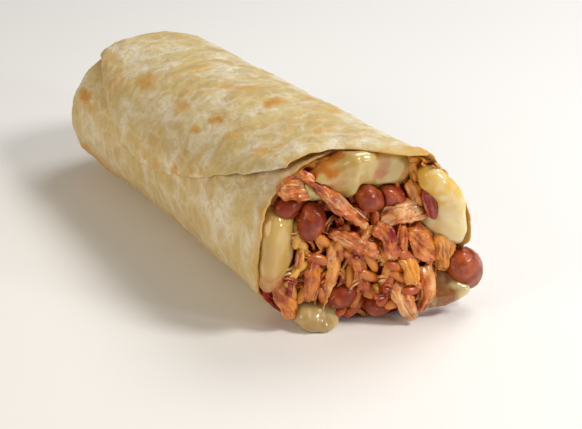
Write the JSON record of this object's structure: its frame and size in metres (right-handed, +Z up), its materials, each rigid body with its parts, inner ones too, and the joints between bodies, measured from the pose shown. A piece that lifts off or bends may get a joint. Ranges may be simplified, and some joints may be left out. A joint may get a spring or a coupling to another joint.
{
  "type": "burrito",
  "caption": "Flour-tortilla burrito lying on its side, closed at one end, with rice, pinto beans, pulled chicken and melted cheese showing at its open end.",
  "frame": {"origin": "on the surface that the burrito lies on, under the middle of its bounding box", "axes": "+X along the roll towards its open end, +Z up, -Y the side where the tortilla's flap ends"},
  "size_m": [0.1706, 0.0718, 0.0586],
  "materials": {
    "tortilla": "matte",
    "rice": "satin",
    "bean": "satin",
    "chicken": "satin",
    "cheese": "gloss"
  },
  "bodies": {
    "root": {"tortilla": "tortilla", "rice": "rice", "bean_behind": "bean", "bean_bottom": "bean", "bean_corner": "bean", "bean_deep": "bean", "bean_front": "bean", "bean_low": "bean", "bean_right": "bean", "bean_top": "bean", "bean_top_right": "bean", "chicken_block": "chicken", "chicken_chunk": "chicken", "chicken_corner": "chicken", "chicken_crumb": "chicken", "chicken_crust": "chicken", "chicken_curl": "chicken", "chicken_fold": "chicken", "chicken_frayed": "chicken", "chicken_gold": "chicken", "chicken_hanging": "chicken", "chicken_leg": "chicken", "chicken_light": "chicken", "chicken_long": "chicken", "chicken_red": "chicken", "chicken_ribbed": "chicken", "chicken_shadow": "chicken", "chicken_slice": "chicken", "chicken_upright": "chicken", "chicken_wide": "chicken", "cheese_left": "cheese", "cheese_low_left": "cheese", "cheese_low_right": "cheese", "cheese_right": "cheese", "cheese_top": "cheese"}
  },
  "joints": []
}
